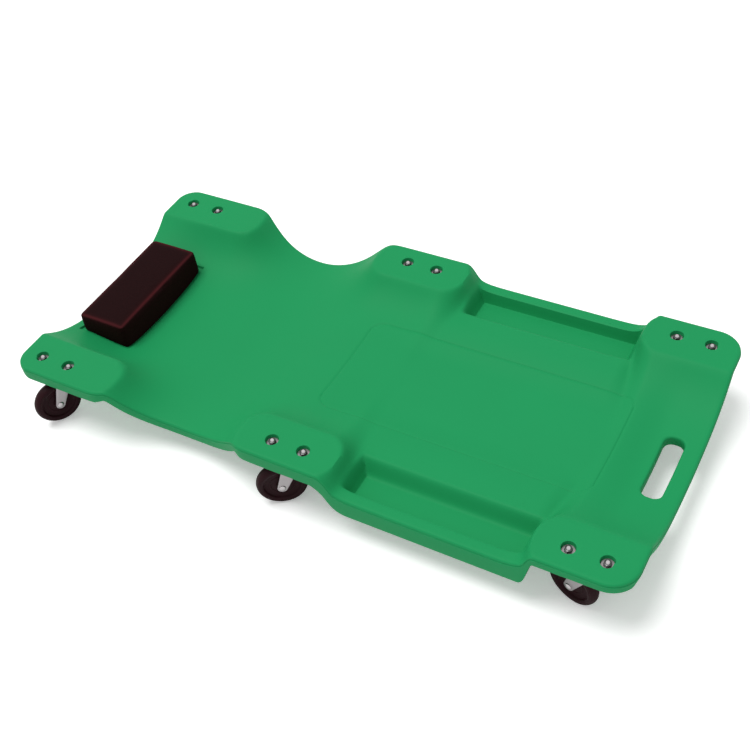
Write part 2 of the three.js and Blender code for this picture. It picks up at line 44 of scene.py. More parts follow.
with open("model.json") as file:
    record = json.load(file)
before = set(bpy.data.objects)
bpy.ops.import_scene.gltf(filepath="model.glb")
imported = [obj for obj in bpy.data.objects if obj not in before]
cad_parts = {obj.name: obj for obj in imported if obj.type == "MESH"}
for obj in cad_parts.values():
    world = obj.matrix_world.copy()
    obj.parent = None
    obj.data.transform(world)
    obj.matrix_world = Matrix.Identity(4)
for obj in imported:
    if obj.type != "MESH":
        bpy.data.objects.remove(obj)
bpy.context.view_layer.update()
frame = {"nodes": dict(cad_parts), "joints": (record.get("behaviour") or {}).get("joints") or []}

# ---- sizes, in metres ----

_deck_low, _deck_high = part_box("deck")
HALF_L = _deck_high.x
HALF_W = _deck_high.y
HEIGHT = _deck_high.z
WALL = 0.018
HEAD_CORNER = 0.032
FOOT_CORNER = 0.040
EDGE = 0.005  # plan width of the rolled edge
INNER_L = HALF_L - EDGE
INNER_W = HALF_W - EDGE

MID_ROW = -0.0111
PAD_INNER_Y = HALF_W - 0.073
HEAD_PAD_END = -HALF_L + 0.181
HEADREST_END = -HALF_L + 0.1124  # foot-side face of the cushion
MID_PAD_START = MID_ROW - 0.078
MID_PAD_END = MID_ROW + 0.078
FOOT_PAD_START = HALF_L - 0.141
PAD_CORNER = 0.030
PAD_FADE = 0.035
HEAD_EDGE_FADE = 0.060
FOOT_PAD_FADE = 0.048
TRAY_SIDE_FADE = 0.009
PAD_ROUND = 0.003
PAD_SHOULDER = 0.008
RIM_RUN = 0.010
HEAD_RIM_DROP = 0.005
MID_RIM_DROP = 0.008
FOOT_END_RISE = 0.008

HEAD_FLOOR = HEIGHT - 0.0555
WAIST_FLOOR = HEIGHT - 0.059
BACK_FLOOR = HEIGHT - 0.040
FOOT_FLOOR = HEIGHT - 0.051
BACK_START = MID_ROW - 0.019
BACK_END = HALF_L - 0.114
FOOT_FLOOR_START = HALF_L - 0.059

WAIST_X = (HEAD_PAD_END + MID_PAD_START) / 2 - 0.003
WAIST_HALF = (MID_PAD_START - HEAD_PAD_END) / 2 + 0.015
WAIST_DEPTH = 0.033
WAIST_BLEND = 0.0015  # softness where the arc leaves the straight side
WAIST_INNER_Y = 0.120
ARC_REACH = 0.99  # share of the arc's radius that a cut-in follows

TRAY_START = MID_PAD_END + 0.0131
TRAY_END = FOOT_PAD_START - 0.005
TRAY_INNER_Y = HALF_W - 0.084
TRAY_OUTER_Y = HALF_W - 0.018
TRAY_RIM = HEIGHT - 0.029
TRAY_LIP_TOP = HEIGHT - 0.033
TRAY_FLOOR = HEIGHT - 0.053
TRAY_SKIN = 0.016
TRAY_UNDER = TRAY_FLOOR - TRAY_SKIN
TRAY_LEAD = 0.080
RIDGE_Y = TRAY_INNER_Y - 0.020
FLAT_HALF = RIDGE_Y - 0.081
TRAY_INNER_RUN = 0.020
TRAY_OUTER_RUN = 0.007
TRAY_END_RUN = 0.014
TRAY_UNDER_RUN = 0.056
TRAY_UNDER_END = 0.023
UNDER_BEYOND = 0.020

SLOT_X = HALF_L - 0.0405
SLOT_HALF_X = 0.0145
SLOT_HALF_Y = 0.0565
SLOT_CORNER = 0.012
SLOT_EDGE = 0.004
SLOT_BLEND = 0.010
SLOT_OUT_X = SLOT_HALF_X + SLOT_EDGE
SLOT_OUT_Y = SLOT_HALF_Y + SLOT_EDGE

PANEL_START = -0.039  # the lightly grooved rounded rectangle on the back area
PANEL_END = 0.393
PANEL_HALF = 0.095
PANEL_CORNER = 0.023
GROOVE_DEPTH = 0.0012
GROOVE_WIDTH = 0.0012

BOLT_REACH = 0.026
RECESS_R = 0.010
RECESS_EDGE = 0.0008
RECESS_BLEND = 0.0042
RECESS_REACH = RECESS_R + RECESS_EDGE

WHEEL_R = 0.0381
PLATE_TOP = HEIGHT - WALL - 0.0003
CROWN_TOP = PLATE_TOP - 0.008
CROWN_THICK = 0.0025
NUT_SEAT = HEIGHT - 0.0072

SEAT_DEPTH = 0.0035  # the cushion stands in a shallow seat
SEAT_MARGIN = 0.003
SEAT_RUN = 0.0015
_cushion_low, _cushion_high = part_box("headrest_cushion")

# ---- where the casters are ----


def caster_places():
    """Kingpin place, trailing angle and trail of each caster, from the frame's joints."""
    joints = {joint["name"]: joint for joint in frame["joints"]}
    found = {}
    for name, swivel in joints.items():
        if name.startswith("swivel_"):
            place = name[len("swivel_") :]
            pin = Vector(swivel["pos_m"])
            hub = Vector(joints["roll_" + place]["pos_m"])
            reach = hub - pin
            found[place] = (pin.x, pin.y, math.atan2(reach.y, reach.x), reach.xy.length)
    return found


PLACES = caster_places()
TRAIL = next(iter(PLACES.values()))[3]
BOLTS = {
    f"{place}_{end}": (x + side * BOLT_REACH, y)
    for place, (x, y, _, _) in PLACES.items()
    for end, side in (("a", -1), ("b", 1))
}

# ---- settings ----


def colour(name, description, default):
    return FloatVectorProperty(
        name=name, description=description, subtype="COLOR", size=3, min=0, max=1, default=default
    )


class CreeperDeckSettings(bpy.types.PropertyGroup):
    plastic: colour("Plastic", "Colour of the moulded deck", (0.012, 0.294, 0.096))
    grain: FloatProperty(
        name="Grain", description="Depth of the moulded grain", default=0.00005, min=0, unit="LENGTH"
    )
    groove: FloatProperty(
        name="Groove", description="Depth of the panel groove", default=GROOVE_DEPTH, min=0, unit="LENGTH"
    )


class CreeperHeadrestSettings(bpy.types.PropertyGroup):
    vinyl: colour("Vinyl", "Colour of the headrest cover", (0.0135, 0.0038, 0.0042))
    # painted highlight: a lighter red laid along the cushion's top edges, where light catches the rounded
    # cover
    edge_highlight_colour: colour("Piping", "Colour of the cover's worn edges", (0.060, 0.010, 0.012))
    crown: FloatProperty(
        name="Crown", description="Rise of the cushion's middle", default=0.0016, min=0, unit="LENGTH"
    )


class CreeperCasterSettings(bpy.types.PropertyGroup):
    wheel: colour("Wheel", "Colour of the hard wheels", (0.022, 0.0055, 0.0075))
    zinc: colour("Zinc", "Colour of the plated steel", (0.42, 0.39, 0.40))
    steps: IntProperty(name="Steps", description="Fineness of turned shapes", default=56, min=12, max=128)


class CreeperStageSettings(bpy.types.PropertyGroup):
    floor: colour("Floor", "Colour of the floor", (0.93, 0.93, 0.93))
    glow: FloatProperty(
        name="Glow", description="How far the floor's shadows are lightened", default=0.30, min=0, max=1
    )
    key: FloatProperty(name="Key", description="Strength of the main lamp", default=1.9, min=0)
    sky: FloatProperty(name="Sky", description="Strength of the light all round", default=0.50, min=0)


# ---- small helpers ----


def clamp(t):
    return min(1.0, max(0.0, t))


def mix(a, b, t):
    return a + (b - a) * t


def ease(start, end, at):
    """0 at start, 1 at end, level at both."""
    t = clamp((at - start) / (end - start))
    return t * t * (3 - 2 * t)


def rounded_distance(dx, dy, corner):
    """Signed distance from a round-cornered rectangle, from how far a point is past its sides."""
    px, py = dx + corner, dy + corner
    return math.hypot(max(px, 0), max(py, 0)) + min(max(px, py), 0) - corner


# ---- deck surface ----


def head_fade(x):
    """The ground falls away from the head pads more slowly at the very end."""
    return mix(HEAD_EDGE_FADE, PAD_FADE, ease(-HALF_L, HEADREST_END, x))


# start and end of each pad's plateau, how far its slope runs, and how soft its edge is
PADS = (
    (-HALF_L - 2 * PAD_CORNER, HEAD_PAD_END, head_fade, 0.004),
    (MID_PAD_START, MID_PAD_END, lambda x: PAD_FADE, 0.005),
    (FOOT_PAD_START, HALF_L + 2 * PAD_CORNER, lambda x: FOOT_PAD_FADE, 0.009),
)


def between_pads(x):
    """1 between the pads that have a tray between them, 0 elsewhere."""
    return ease(MID_PAD_END - PAD_CORNER, TRAY_START, x) * (
        1 - ease(TRAY_END, FOOT_PAD_START + PAD_CORNER, x)
    )


def lift(x, a, inset, outer):
    """How much of a pad's height is left at a place: 1 on the plateau, fading with distance."""
    rest = 1.0
    inner = PAD_INNER_Y + inset
    share = between_pads(x)
    for start, end, fade_at, softness in PADS:
        dx = abs(x - (start + end) / 2) - (end - start) / 2 + inset
        dy = abs(a - (inner + outer) / 2) - (outer - inner) / 2
        d = max(0.0, rounded_distance(dx, dy, PAD_CORNER))
        fade = mix(fade_at(x), TRAY_SIDE_FADE, share)
        soft = mix(softness, PAD_ROUND, share)
        rest *= 1 - math.exp(-(math.hypot(d, soft) - soft) / fade)
    return 1 - rest


def floor_at(x):
    """Height of the dish along its middle."""
    to_waist = mix(HEAD_FLOOR, WAIST_FLOOR, ease(HEAD_PAD_END, WAIST_X, x))
    to_back = mix(to_waist, BACK_FLOOR, ease(WAIST_X, BACK_START, x))
    return mix(to_back, FOOT_FLOOR, ease(BACK_END, FOOT_FLOOR_START, x))


def dish(x, a):
    """The surface without pads: a shallow dish that turns up to a ridge beside each tray."""
    beside = ease(TRAY_START - TRAY_LEAD, TRAY_START, x) * (1 - ease(TRAY_END - TRAY_END_RUN, BACK_END, x))
    ridge = mix(TRAY_RIM, TRAY_LIP_TOP, ease(TRAY_INNER_Y, TRAY_OUTER_Y, a))
    side = mix(floor_at(x), ridge, beside)
    return mix(floor_at(x), side, ease(FLAT_HALF, RIDGE_Y, a))


def seat_share(x, a):
    """1 on the floor of the cushion's seat, 0 beyond its edge."""
    middle = (_cushion_low.x + _cushion_high.x) / 2
    past = max(abs(x - middle) - (_cushion_high.x - middle), a - _cushion_high.y)
    return 1 - ease(SEAT_MARGIN, SEAT_MARGIN + SEAT_RUN, past)


def top_at(x, y):
    """Height of the deck's upper side."""
    a = abs(y)
    open_height = mix(dish(x, a), HEIGHT, lift(x, a, 0, HALF_W))
    wall = max(
        1 - ease(TRAY_INNER_Y, TRAY_INNER_Y + TRAY_INNER_RUN, a),
        ease(TRAY_OUTER_Y - TRAY_OUTER_RUN, TRAY_OUTER_Y, a),
        1 - ease(TRAY_START, TRAY_START + TRAY_END_RUN, x),
        ease(TRAY_END - TRAY_END_RUN, TRAY_END, x),
    )
    return mix(TRAY_FLOOR, open_height, wall) - SEAT_DEPTH * seat_share(x, a)


def rim_drop(x, a):
    """How far the lower skin of a pad hangs down near the deck's long side."""
    side = ease(HALF_W - RIM_RUN, HALF_W - EDGE, a)
    head = HEAD_RIM_DROP * (1 - ease(HEAD_PAD_END, WAIST_X, x))
    mid = MID_RIM_DROP * ease(WAIST_X, MID_PAD_START, x) * (1 - ease(MID_PAD_END, TRAY_START, x))
    return side * (head + mid)


def under_at(x, y):
    """Height of the deck's lower side."""
    a = abs(y)
    pad = lift(x, a, PAD_SHOULDER, HALF_W + UNDER_BEYOND)
    rise = FOOT_END_RISE * ease(HALF_L - RIM_RUN, HALF_L - EDGE, x)
    plain = mix(dish(x, a) - WALL, HEIGHT - WALL - rim_drop(x, a), pad) + rise
    start = TRAY_START + TRAY_END_RUN
    end = TRAY_END - TRAY_END_RUN + TRAY_SKIN / 2
    along = ease(start - TRAY_UNDER_RUN, start, x) * (1 - ease(end, end + TRAY_UNDER_END, x))
    across = ease(TRAY_INNER_Y - TRAY_INNER_RUN, TRAY_INNER_Y, a)
    return min(plain, mix(plain, TRAY_UNDER, along * across))


def groove_at(x, y, depth):
    """Depth of the fine line round the back panel."""
    dx = abs(x - (PANEL_START + PANEL_END) / 2) - (PANEL_END - PANEL_START) / 2
    d = rounded_distance(dx, abs(y) - PANEL_HALF, PANEL_CORNER)
    return depth * math.exp(-((d / GROOVE_WIDTH) ** 2))


def half_width(x):
    """Half the deck's width inside its rolled edge, with the arm cut-ins."""
    radius = (WAIST_HALF**2 + WAIST_DEPTH**2) / (2 * WAIST_DEPTH)
    from_middle = min(abs(x - WAIST_X), radius * ARC_REACH)
    cut = WAIST_DEPTH - radius + math.sqrt(radius**2 - from_middle**2)
    soft = (cut + math.hypot(cut, 2 * WAIST_BLEND)) / 2
    return INNER_W - soft


# ---- mesh helpers ----

MERGE = 2e-6
TINY = 1e-6


def evenly(runs, fixed, closest=0.0007):
    """Grid lines from (start, end, spacing) runs, with the fixed lines kept exactly."""
    loose = set()
    for start, end, spacing in runs:
        count = max(1, round((end - start) / spacing))
        loose.update(mix(start, end, i / count) for i in range(count + 1))
    kept = sorted(fixed)
    for value in sorted(loose):
        if all(abs(value - other) > closest for other in kept):
            kept.append(value)
    return sorted(kept)


def grid_on(xs, ys):
    """A flat grid whose lines stand at the given places."""
    bm = bmesh.new()
    bm.verts.layers.float_vector.new("base")
    bm.verts.layers.float_vector.new("lead")
    bmesh.ops.create_grid(bm, x_segments=len(xs) - 1, y_segments=len(ys) - 1, size=1)
    for vert in bm.verts:
        i = round((vert.co.x + 1) / 2 * (len(xs) - 1))
        j = round((vert.co.y + 1) / 2 * (len(ys) - 1))
        vert.co = Vector((xs[i], ys[j], 0))
    return bm


def verts_of(made):
    """The vertices among what an operator made."""
    return [item for item in made if isinstance(item, bmesh.types.BMVert)]


def squared(dx, dy, full, blend):
    """Turns a square ring of grid lines into a round one, fading back to square outside it."""
    far = max(abs(dx), abs(dy))
    if far < 1e-9 or far >= full + blend:
        return dx, dy
    k = far / math.hypot(dx, dy)
    if far > full:
        k = mix(k, 1.0, (far - full) / blend)
    return dx * k, dy * k


def border_loops(bm):
    """The open border edges, as one list of edges for each loop."""
    left = {edge for edge in bm.edges if edge.is_boundary}
    loops = []
    while left:
        loop, front = [], [left.pop()]
        while front:
            edge = front.pop()
            loop.append(edge)
            for vert in edge.verts:
                joined = [other for other in vert.link_edges if other in left]
                left.difference_update(joined)
                front.extend(joined)
        loops.append(loop)
    return loops


def away_from_faces(vert):
    """Level direction that leads out of the mesh across its border."""
    ends = [edge.other_vert(vert).co for edge in vert.link_edges if edge.is_boundary]
    along = ends[1] - ends[0]
    out = Vector((along.y, -along.x, 0)).normalized()
    middle = sum((face.calc_center_median() for face in vert.link_faces), Vector()) / len(vert.link_faces)
    return -out if out.dot(middle - vert.co) > 0 else out


def continue_border(bm, loop, bottom_of, profile):
    """Carries a border on in steps of (outward, 1 from the top or 0 from the bottom, offset)."""
    base = bm.verts.layers.float_vector["base"]
    lead = bm.verts.layers.float_vector["lead"]
    verts = {vert for edge in loop for vert in edge.verts}
    outs = {vert: away_from_faces(vert) for vert in verts}
    for vert in verts:
        vert[base] = vert.co
        vert[lead] = Vector((outs[vert].x, outs[vert].y, bottom_of(vert.co.x, vert.co.y)))
    edges = loop
    for out, from_top, offset in profile:
        made = bmesh.ops.extrude_edge_only(bm, edges=edges)["geom"]
        fresh = set(verts_of(made))
        for vert in fresh:
            start, way = vert[base], vert[lead]
            height = mix(way.z, start.z, from_top) + offset
            vert.co = Vector((start.x + way.x * out, start.y + way.y * out, height))
        made_edges = (item for item in made if isinstance(item, bmesh.types.BMEdge))
        edges = [edge for edge in made_edges if fresh.issuperset(edge.verts)]
    return edges


def add_underside(bm, height_at):
    """Copies the sheet, moves the copy to its own heights and gives back the copy's vertices."""
    made = bmesh.ops.duplicate(bm, geom=bm.verts[:] + bm.edges[:] + bm.faces[:])["geom"]
    under = set(verts_of(made))
    for vert in under:
        vert.co.z = height_at(vert.co.x, vert.co.y)
    return under


def close_border(bm):
    """Joins the borders that lie on each other and turns every face outwards."""
    border = {vert for edge in bm.edges if edge.is_boundary for vert in edge.verts}
    bmesh.ops.remove_doubles(bm, verts=list(border), dist=MERGE)
    bmesh.ops.recalc_face_normals(bm, faces=bm.faces)


def joined(pieces):
    """One bmesh from several, each given with the matrix that places it."""
    whole = bmesh.new()
    for source, matrix in pieces:
        bmesh.ops.transform(source, matrix=matrix, verts=source.verts)
        mesh = bpy.data.meshes.new("part")
        source.to_mesh(mesh)
        source.free()
        whole.from_mesh(mesh)
        bpy.data.meshes.remove(mesh)
    return whole


def turned(profile, steps, closed=False):
    """A solid of revolution about Z from (radius, height) points."""
    bm = bmesh.new()
    verts = [bm.verts.new((r, 0, z)) for r, z in profile]
    ring = verts + [verts[0]] if closed else verts
    edges = [bm.edges.new(pair) for pair in zip(ring, ring[1:])]
    sweep = {"cent": (0, 0, 0), "axis": (0, 0, 1), "angle": 2 * math.pi, "steps": steps}
    bmesh.ops.spin(bm, geom=verts + edges, use_merge=True, use_duplicate=False, **sweep)
    bmesh.ops.remove_doubles(bm, verts=bm.verts, dist=TINY)
    bmesh.ops.recalc_face_normals(bm, faces=bm.faces)
    return bm


def soften(bm, offset, segments=2, angle=35):
    """Bevels every edge that is sharper than the angle."""
    sharp = [
        edge
        for edge in bm.edges
        if len(edge.link_faces) == 2 and edge.calc_face_angle(0) > math.radians(angle)
    ]
    cut = {"offset": offset, "segments": segments, "profile": 0.5, "clamp_overlap": True}
    bmesh.ops.bevel(bm, geom=sharp, affect="EDGES", material=-1, **cut)


def raised(bm, height):
    """Turns a flat face into a solid of a given height."""
    made = bmesh.ops.extrude_face_region(bm, geom=bm.faces[:])["geom"]
    bmesh.ops.translate(bm, vec=(0, 0, height), verts=verts_of(made))
    bmesh.ops.recalc_face_normals(bm, faces=bm.faces)
    return bm


def prism(outline, low, high):
    """An outline of (x, y) points, raised between two heights."""
    bm = bmesh.new()
    bm.faces.new([bm.verts.new((x, y, low)) for x, y in outline])
    return raised(bm, high - low)


def hexagon(across, low, high):
    """A six-sided prism of a given width across its flats."""
    bm = bmesh.new()
    radius = across / 2 / math.cos(math.pi / 6)
    bmesh.ops.create_circle(
        bm, cap_ends=True, segments=6, radius=radius, matrix=Matrix.Translation((0, 0, low))
    )
    return raised(bm, high - low)


def finish_piece(name, bm, material, body, replaces=(), sharp=40):
    """Makes the object, at the origin, and ties it to its body."""
    mesh = bpy.data.meshes.new(name)
    bm.to_mesh(mesh)
    bm.free()
    mesh.shade_smooth()
    mesh.set_sharp_from_angle(angle=math.radians(sharp))
    piece = bpy.data.objects.new(name, mesh)
    bpy.context.scene.collection.objects.link(piece)
    mesh.materials.append(material)
    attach(piece, body)
    if replaces:
        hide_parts(*replaces)
    return piece


def fit_piece(name, place, parts, finish, body, node=None, sharp=40):
    """One of a set of like pieces, from parts that are each given with the matrix that places it."""
    replaced = [f"{node}_{place}"] if node else ()
    finish_piece(f"{name}_{place}", joined(parts), finish_of(finish), body, replaced, sharp)


# ---- materials ----

# the layer that carries the cushion's painted highlight along its edges
EDGE_MARK = "painted_rim_highlight"
GLOSS_SWING = 0.05  # how far the roughness drifts to either side


def add_node(tree, kind, values=None, **settings):
    """A shader node with its settings made and its inputs' values set."""
    node = tree.nodes.new("ShaderNode" + kind)
    for setting, value in settings.items():
        setattr(node, setting, value)
    for socket, value in (values or {}).items():
        node.inputs[socket].default_value = value
    return node


def new_material(name):
    material = bpy.data.materials.new(name)
    material.use_nodes = True
    return material, material.node_tree, material.node_tree.nodes["Principled BSDF"]


def new_group(name, inputs, outputs):
    """A node group with its named inputs and outputs."""
    group = bpy.data.node_groups.new(name, "ShaderNodeTree")
    for way, sockets in (("INPUT", inputs), ("OUTPUT", outputs)):
        for label, kind in sockets:
            group.interface.new_socket(label, in_out=way, socket_type="NodeSocket" + kind)
    return group, group.nodes.new("NodeGroupInput"), group.nodes.new("NodeGroupOutput")


def shared_group(name, builder):
    return bpy.data.node_groups.get(name) or builder(name)


def build_grain(name):
    """Fine pebbled height with a slow drift in it."""
    group, given, out = new_group(
        name, [("Vector", "Vector"), ("Scale", "Float"), ("Drift", "Float")], [("Height", "Float")]
    )
    link = group.links.new
    pebble = add_node(group, "TexVoronoi", feature="SMOOTH_F1")
    drift = add_node(group, "TexNoise", {"Scale": 40, "Detail": 3})
    scaled = add_node(group, "Math", operation="MULTIPLY")
    total = add_node(group, "Math", operation="ADD")
    link(given.outputs["Vector"], pebble.inputs["Vector"])
    link(given.outputs["Scale"], pebble.inputs["Scale"])
    link(given.outputs["Vector"], drift.inputs["Vector"])
    link(drift.outputs["Fac"], scaled.inputs[0])
    link(given.outputs["Drift"], scaled.inputs[1])
    link(pebble.outputs["Distance"], total.inputs[0])
    link(scaled.outputs[0], total.inputs[1])
    link(total.outputs[0], out.inputs["Height"])
    return group


def build_tone(name):
    """A colour that drifts slightly lighter and darker over the surface."""
    group, given, out = new_group(
        name,
        [("Vector", "Vector"), ("Color", "Color"), ("Scale", "Float"), ("Amount", "Float")],
        [("Color", "Color"), ("Mask", "Float")],
    )
    link = group.links.new
    noise = add_node(group, "TexNoise", {"Detail": 4})
    level = add_node(group, "Math", {1: 0.5}, operation="SUBTRACT")
    swing = add_node(group, "Math", {2: 1}, operation="MULTIPLY_ADD")
    shade = add_node(group, "HueSaturation")
    link(given.outputs["Vector"], noise.inputs["Vector"])
    link(given.outputs["Scale"], noise.inputs["Scale"])
    link(noise.outputs["Fac"], level.inputs[0])
    link(level.outputs[0], swing.inputs[0])
    link(given.outputs["Amount"], swing.inputs[1])
    link(swing.outputs[0], shade.inputs["Value"])
    link(given.outputs["Color"], shade.inputs["Color"])
    link(shade.outputs["Color"], out.inputs["Color"])
    link(noise.outputs["Fac"], out.inputs["Mask"])
    return group


def add_painted_highlight(tree, base, worn):
    """Mixes a second colour in where the piece's own attribute marks an edge: a painted highlight."""
    mark = add_node(tree, "Attribute", attribute_name=EDGE_MARK)
    blend = add_node(tree, "Mix", {"B": (*worn, 1)}, data_type="RGBA")
    tree.links.new(mark.outputs["Fac"], blend.inputs["Factor"])
    tree.links.new(base, blend.inputs["A"])
    return blend.outputs["Result"]


def make_finish(
    name, base, rough, grain, grain_scale, metallic=0.0, tone=0.12, tone_scale=9.0, worn=None, **sockets
):
    """A finish with drifting tone and roughness, a bumped grain and, if asked for, a painted highlight
    along its edges.
    """
    material, tree, shader = new_material(name)
    link = tree.links.new
    shader.inputs["Metallic"].default_value = metallic
    for socket, value in sockets.items():
        shader.inputs[socket.replace("_", " ")].default_value = value
    place = add_node(tree, "TexCoord")
    drift = {"Color": (*base, 1), "Scale": tone_scale, "Amount": tone}
    shade = add_node(tree, "Group", drift, node_tree=shared_group("tone_drift", build_tone))
    span = {"From Min": 0.3, "From Max": 0.7, "To Min": rough - GLOSS_SWING, "To Max": rough + GLOSS_SWING}
    gloss = add_node(tree, "MapRange", span)
    fine = {"Scale": grain_scale, "Drift": 0.4}
    pebbles = add_node(tree, "Group", fine, node_tree=shared_group("moulded_grain", build_grain))
    bump = add_node(tree, "Bump", {"Distance": grain, "Strength": 1})
    link(place.outputs["Object"], shade.inputs["Vector"])
    link(place.outputs["Object"], pebbles.inputs["Vector"])
    tinted = shade.outputs["Color"]
    if worn:
        tinted = add_painted_highlight(tree, tinted, worn)
    link(tinted, shader.inputs["Base Color"])
    link(shade.outputs["Mask"], gloss.inputs["Value"])
    link(gloss.outputs["Result"], shader.inputs["Roughness"])
    link(pebbles.outputs["Height"], bump.inputs["Height"])
    link(bump.outputs["Normal"], shader.inputs["Normal"])
    return material


def finish_of(name):
    """One of the creeper's finishes, made when it is first asked for."""
    if name in bpy.data.materials:
        return bpy.data.materials[name]
    scene = bpy.context.scene
    deck, rest, caster = scene.creeper_deck, scene.creeper_headrest, scene.creeper_caster
    polished = {"metallic": 1.0, "grain": 0.00001, "grain_scale": 900}
    kinds = {
        "green_plastic": dict(
            base=deck.plastic, rough=0.55, grain=deck.grain, grain_scale=900, tone=0.10, tone_scale=7,
            Specular_IOR_Level=0.10,
        ),
        "vinyl": dict(
            base=rest.vinyl, rough=0.7, grain=0.00020, grain_scale=560, tone=1.1, tone_scale=420,
            # the vinyl's edges get a painted highlight in a lighter red
            worn=rest.edge_highlight_colour, Specular_IOR_Level=0.03,
        ),
        "hardboard": dict(
            base=(0.15, 0.085, 0.04), rough=0.8, grain=0.0001, grain_scale=400, tone=0.6, tone_scale=60
        ),
        "wheel_plastic": dict(
            base=caster.wheel, rough=0.45, grain=0.00004, grain_scale=500, tone=0.4, tone_scale=40,
            Specular_IOR_Level=0.08,
        ),
        "zinc_plate": dict(
            base=caster.zinc, rough=0.34, grain=0.00003, grain_scale=700, metallic=1.0, tone=0.25,
            tone_scale=60,
        ),
        "bright_zinc": dict(base=(0.52, 0.49, 0.50), rough=0.28, tone=0.15, tone_scale=90, **polished),
        # painted shade: the washer's and nut's zinc is made darker than the plated parts to stand for the
        # shade inside the bolt recesses
        "washer_zinc": dict(base=(0.30, 0.28, 0.285), rough=0.32, tone=0.3, tone_scale=120, **polished),
        "nut_zinc_painted_shade": dict(base=(0.075, 0.075, 0.075), rough=0.28, tone=0.3, tone_scale=90, **polished),
    }
    return make_finish(name, **kinds[name])


# ---- stage ----

CAMERA_PLACE = Vector((0.7196, -1.0072, 1.31685))
CAMERA_AZIMUTH = math.radians(35.16)
CAMERA_ELEVATION = math.radians(45.40)
CAMERA_ROLL = -0.15296
CAMERA_LENS = 55.07
KEY_FROM = (-0.28, -0.10, 1.0)
KEY_SPREAD = math.radians(32)
FLOOR_HALF = 8


def place_camera():
    """Stands the camera at its place, looking down at the creeper with a slight roll."""
    a, e = CAMERA_AZIMUTH, CAMERA_ELEVATION
    back = Vector((math.sin(a) * math.cos(e), -math.cos(a) * math.cos(e), math.sin(e)))
    right = Vector((math.cos(a), math.sin(a), 0))
    up = back.cross(right)
    turn = Matrix.Rotation(CAMERA_ROLL, 3, back)
    right, up = turn @ right, turn @ up
    data = bpy.data.cameras.new("camera")
    data.lens = CAMERA_LENS
    camera = bpy.data.objects.new("camera", data)
    bpy.context.scene.collection.objects.link(camera)
    camera.matrix_world = Matrix.Translation(CAMERA_PLACE) @ Matrix((right, up, back)).transposed().to_4x4()
    bpy.context.scene.camera = camera


def seen_or_not(tree, seen, unseen):
    """A colour that differs between what the camera or a reflection sees and what lights the scene."""
    path = add_node(tree, "LightPath")
    either = add_node(tree, "Math", operation="MAXIMUM")
    choose = add_node(tree, "Mix", {"A": (*unseen, 1), "B": (*seen, 1)}, data_type="RGBA")
    tree.links.new(path.outputs["Is Camera Ray"], either.inputs[0])
    tree.links.new(path.outputs["Is Glossy Ray"], either.inputs[1])
    tree.links.new(either.outputs[0], choose.inputs["Factor"])
    return choose.outputs["Result"]


def paint_floor(settings):
    """A white floor that keeps the object's shadow, close in under its edge."""
    paint, tree, shader = new_material("floor")
    link = tree.links.new
    shader.inputs["Roughness"].default_value = 0.9
    shader.inputs["Specular IOR Level"].default_value = 0.0
    link(seen_or_not(tree, (1, 1, 1), settings.floor), shader.inputs["Base Color"])
    glow = add_node(tree, "Emission")
    path = add_node(tree, "LightPath")
    share = add_node(tree, "Math", {1: settings.glow}, operation="MULTIPLY")
    both = add_node(tree, "AddShader")
    link(path.outputs["Is Camera Ray"], share.inputs[0])
    link(share.outputs[0], glow.inputs["Strength"])
    link(shader.outputs["BSDF"], both.inputs[0])
    link(glow.outputs["Emission"], both.inputs[1])
    link(both.outputs["Shader"], tree.nodes["Material Output"].inputs["Surface"])
    return paint


class CREEPER_OT_stage(bpy.types.Operator):
    """Makes the floor, the sky, the lamp and the camera"""

    bl_idname = "creeper.stage"
    bl_label = "Stage"

    def execute(self, context):
        settings = context.scene.creeper_stage
        context.scene.view_settings.view_transform = "Standard"
        bm = bmesh.new()
        bmesh.ops.create_grid(bm, x_segments=1, y_segments=1, size=FLOOR_HALF)
        mesh = bpy.data.meshes.new("floor")
        bm.to_mesh(mesh)
        bm.free()
        floor = bpy.data.objects.new("floor", mesh)
        context.scene.collection.objects.link(floor)
        mesh.materials.append(paint_floor(settings))

        world = bpy.data.worlds.new("sky")
        world.use_nodes = True
        context.scene.world = world
        level = (settings.sky,) * 3
        sky = seen_or_not(world.node_tree, (1, 1, 1), level)
        world.node_tree.links.new(sky, world.node_tree.nodes["Background"].inputs["Color"])

        data = bpy.data.lights.new("key", "SUN")
        data.angle = KEY_SPREAD
        data.energy = settings.key
        lamp = bpy.data.objects.new("key", data)
        context.scene.collection.objects.link(lamp)
        lamp.rotation_euler = (-Vector(KEY_FROM)).to_track_quat("-Z", "Y").to_euler()
        place_camera()
        return {"FINISHED"}


# ---- deck ----

# border profiles: outward, 1 from the top or 0 from the bottom, offset
DECK_EDGE = (
    (0.0022, 1, -0.0004),
    (0.0035, 1, -0.0012),
    (0.0043, 1, -0.0024),
    (0.0045, 1, -0.0040),
    (0.0039, 1, -0.0047),
    (0.0042, 1, -0.0053),
    (0.0050, 1, -0.0058),
    (0.0050, 0, 0.0026),
    (0.0047, 0, 0.0013),
    (0.0039, 0, 0.0004),
    (0.0022, 0, 0.0),
    (0.0, 0, 0.0),
)
SLOT_PROFILE = (
    (0.0016, 1, -0.0003),
    (0.0029, 1, -0.0012),
    (0.0037, 1, -0.0026),
    (0.0040, 1, -0.0045),
    (0.0040, 0, 0.0040),
    (0.0036, 0, 0.0022),
    (0.0026, 0, 0.0008),
    (0.0, 0, 0.0),
)
RECESS_PROFILE = (
    (0.0004, 1, -0.0001),
    (0.0007, 1, -0.0004),
    (0.0008, 1, -0.0010),
    (0.0010, 1, -0.0066),
    (0.0014, 1, -0.0072),
    (0.0021, 1, -0.0075),
)
